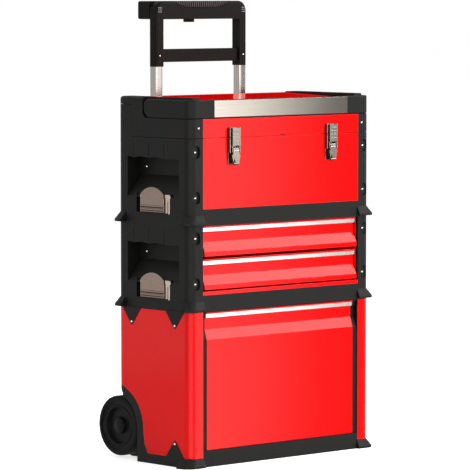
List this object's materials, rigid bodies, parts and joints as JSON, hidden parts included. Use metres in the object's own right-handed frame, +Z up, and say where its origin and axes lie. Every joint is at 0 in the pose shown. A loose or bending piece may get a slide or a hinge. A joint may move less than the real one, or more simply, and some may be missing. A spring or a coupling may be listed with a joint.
{
  "type": "stackable tool trolley",
  "caption": "Stacking tool trolley with a deep drawer base on wheels, a shallow drawer unit, a lidded box and a telescopic pull handle.",
  "frame": {"origin": "centre of the base's underside, on the floor", "axes": "+X to the right seen from the front, along the width; +Y to the back, towards the pull handle; +Z up"},
  "size_m": [0.518, 0.3064, 0.9085],
  "materials": {
    "black_plastic": "fine grained black moulding, satin",
    "grip_plastic": "satin black, slightly soft",
    "red_paint": "smooth semi-gloss red powder coat",
    "zinc_steel": "plain zinc plate",
    "latch_steel": "satin warm grey plate",
    "strip_steel": "brushed along its length",
    "aluminium": "satin anodised",
    "rivet_steel": "bright",
    "tyre": "matt black"
  },
  "bodies": {
    "base_module": {"base_tray": "black_plastic", "base_wrap": "red_paint", "base_top_frame": "black_plastic", "base_front_frame": "black_plastic", "base_rails": "zinc_steel", "base_rivets": "rivet_steel", "axle": "zinc_steel", "handle_mount": "black_plastic", "outer_tubes": "aluminium", "tube_collar": "black_plastic"},
    "wheel_left": {"tyre_left": "tyre", "rim_left": "black_plastic"},
    "wheel_right": {"tyre_right": "tyre", "rim_right": "black_plastic"},
    "deep_drawer": {"deep_drawer_front": "red_paint", "deep_drawer_trim": "aluminium", "deep_drawer_tub": "red_paint", "deep_drawer_runners": "zinc_steel"},
    "middle_module": {"middle_base_frame": "black_plastic", "middle_side_left": "black_plastic", "middle_side_right": "black_plastic", "middle_cabinet": "red_paint", "middle_top_frame": "black_plastic", "middle_rails": "zinc_steel", "middle_rivets": "rivet_steel", "middle_latch_brackets": "latch_steel"},
    "lower_drawer": {"lower_drawer_front": "red_paint", "lower_drawer_trim": "aluminium", "lower_drawer_tub": "red_paint", "lower_drawer_runners": "zinc_steel"},
    "upper_drawer": {"upper_drawer_front": "red_paint", "upper_drawer_trim": "aluminium", "upper_drawer_tub": "red_paint", "upper_drawer_runners": "zinc_steel"},
    "middle_latch_left": {"middle_latch_left": "latch_steel"},
    "middle_latch_right": {"middle_latch_right": "latch_steel"},
    "top_latch_left": {"top_latch_left": "latch_steel"},
    "top_latch_right": {"top_latch_right": "latch_steel"},
    "top_box": {"top_base_frame": "black_plastic", "top_side_left": "black_plastic", "top_side_right": "black_plastic", "top_tub": "red_paint", "top_rivets": "rivet_steel", "top_latch_brackets": "latch_steel", "front_latch_bases": "latch_steel", "hinge_box_leaf": "zinc_steel"},
    "lid": {"lid_panel": "red_paint", "lid_frame": "black_plastic", "lid_rivets": "rivet_steel", "front_latch_keepers": "latch_steel", "hinge_lid_leaf": "zinc_steel"},
    "bail": {"bail_handle": "black_plastic", "bail_strip": "strip_steel"},
    "front_lever_left": {"front_latch_lever_left": "latch_steel"},
    "front_lever_right": {"front_latch_lever_right": "latch_steel"},
    "front_strap_left": {"front_latch_strap_left": "latch_steel"},
    "front_strap_right": {"front_latch_strap_right": "latch_steel"},
    "pull_handle": {"handle_tubes": "aluminium", "handle_frame": "grip_plastic"},
    "release_button": {"release_button": "grip_plastic"}
  },
  "joints": [
    {"name": "wheel_left_spin", "type": "hinge", "parent": "base_module", "child": "wheel_left", "pos_m": [-0.22, 0.115, 0.0645], "axis": [1, 0, 0], "continuous": true},
    {"name": "wheel_right_spin", "type": "hinge", "parent": "base_module", "child": "wheel_right", "pos_m": [0.22, 0.115, 0.0645], "axis": [1, 0, 0], "continuous": true},
    {"name": "deep_drawer_slide", "type": "slide", "parent": "base_module", "child": "deep_drawer", "axis": [0, -1, 0], "range_m": [0, 0.15]},
    {"name": "middle_module_lift", "type": "slide", "parent": "base_module", "child": "middle_module", "axis": [0, 0, 1], "range_m": [0, 0.12]},
    {"name": "lower_drawer_slide", "type": "slide", "parent": "middle_module", "child": "lower_drawer", "axis": [0, -1, 0], "range_m": [0, 0.15]},
    {"name": "upper_drawer_slide", "type": "slide", "parent": "middle_module", "child": "upper_drawer", "axis": [0, -1, 0], "range_m": [0, 0.15]},
    {"name": "top_box_lift", "type": "slide", "parent": "middle_module", "child": "top_box", "axis": [0, 0, 1], "range_m": [0, 0.12]},
    {"name": "middle_latch_left_turn", "type": "hinge", "parent": "middle_module", "child": "middle_latch_left", "pos_m": [-0.241, 0, 0.351], "axis": [0, -1, 0], "range_deg": [0, 25], "stiffness_Nm_per_rad": 0.4, "springref_deg": -11.46},
    {"name": "middle_latch_right_turn", "type": "hinge", "parent": "middle_module", "child": "middle_latch_right", "pos_m": [0.241, 0, 0.351], "axis": [0, 1, 0], "range_deg": [0, 25], "stiffness_Nm_per_rad": 0.4, "springref_deg": -11.46},
    {"name": "top_latch_left_turn", "type": "hinge", "parent": "top_box", "child": "top_latch_left", "pos_m": [-0.241, 0, 0.519], "axis": [0, -1, 0], "range_deg": [0, 25], "stiffness_Nm_per_rad": 0.4, "springref_deg": -11.46},
    {"name": "top_latch_right_turn", "type": "hinge", "parent": "top_box", "child": "top_latch_right", "pos_m": [0.241, 0, 0.519], "axis": [0, 1, 0], "range_deg": [0, 25], "stiffness_Nm_per_rad": 0.4, "springref_deg": -11.46},
    {"name": "lid_hinge", "type": "hinge", "parent": "top_box", "child": "lid", "pos_m": [0, 0.1111, 0.708], "axis": [-1, 0, 0], "range_deg": [0, 90]},
    {"name": "bail_swing", "type": "hinge", "parent": "lid", "child": "bail", "pos_m": [0, 0.0103, 0.6998], "axis": [1, 0, 0], "range_deg": [-90, 0]},
    {"name": "front_lever_left_turn", "type": "hinge", "parent": "top_box", "child": "front_lever_left", "pos_m": [-0.132, -0.1133, 0.622], "axis": [-1, 0, 0], "range_deg": [0, 110]},
    {"name": "front_strap_left_turn", "type": "hinge", "parent": "front_lever_left", "child": "front_strap_left", "pos_m": [-0.132, -0.1153, 0.616], "axis": [-1, 0, 0], "range_deg": [-110, 0]},
    {"name": "front_lever_right_turn", "type": "hinge", "parent": "top_box", "child": "front_lever_right", "pos_m": [0.132, -0.1133, 0.622], "axis": [-1, 0, 0], "range_deg": [0, 110]},
    {"name": "front_strap_right_turn", "type": "hinge", "parent": "front_lever_right", "child": "front_strap_right", "pos_m": [0.132, -0.1153, 0.616], "axis": [-1, 0, 0], "range_deg": [-110, 0]},
    {"name": "pull_handle_slide", "type": "slide", "parent": "base_module", "child": "pull_handle", "axis": [0, 0, 1], "range_m": [-0.17, 0.18]},
    {"name": "release_button_press", "type": "slide", "parent": "pull_handle", "child": "release_button", "axis": [0, 0, 1], "range_m": [0, 0.005], "stiffness_N_per_m": 600, "springref_m": -0.003}
  ],
  "couplings": [
    {"joint": "front_strap_left_turn", "follows": "front_lever_left_turn", "ratio": -1},
    {"joint": "front_strap_right_turn", "follows": "front_lever_right_turn", "ratio": -1}
  ]
}
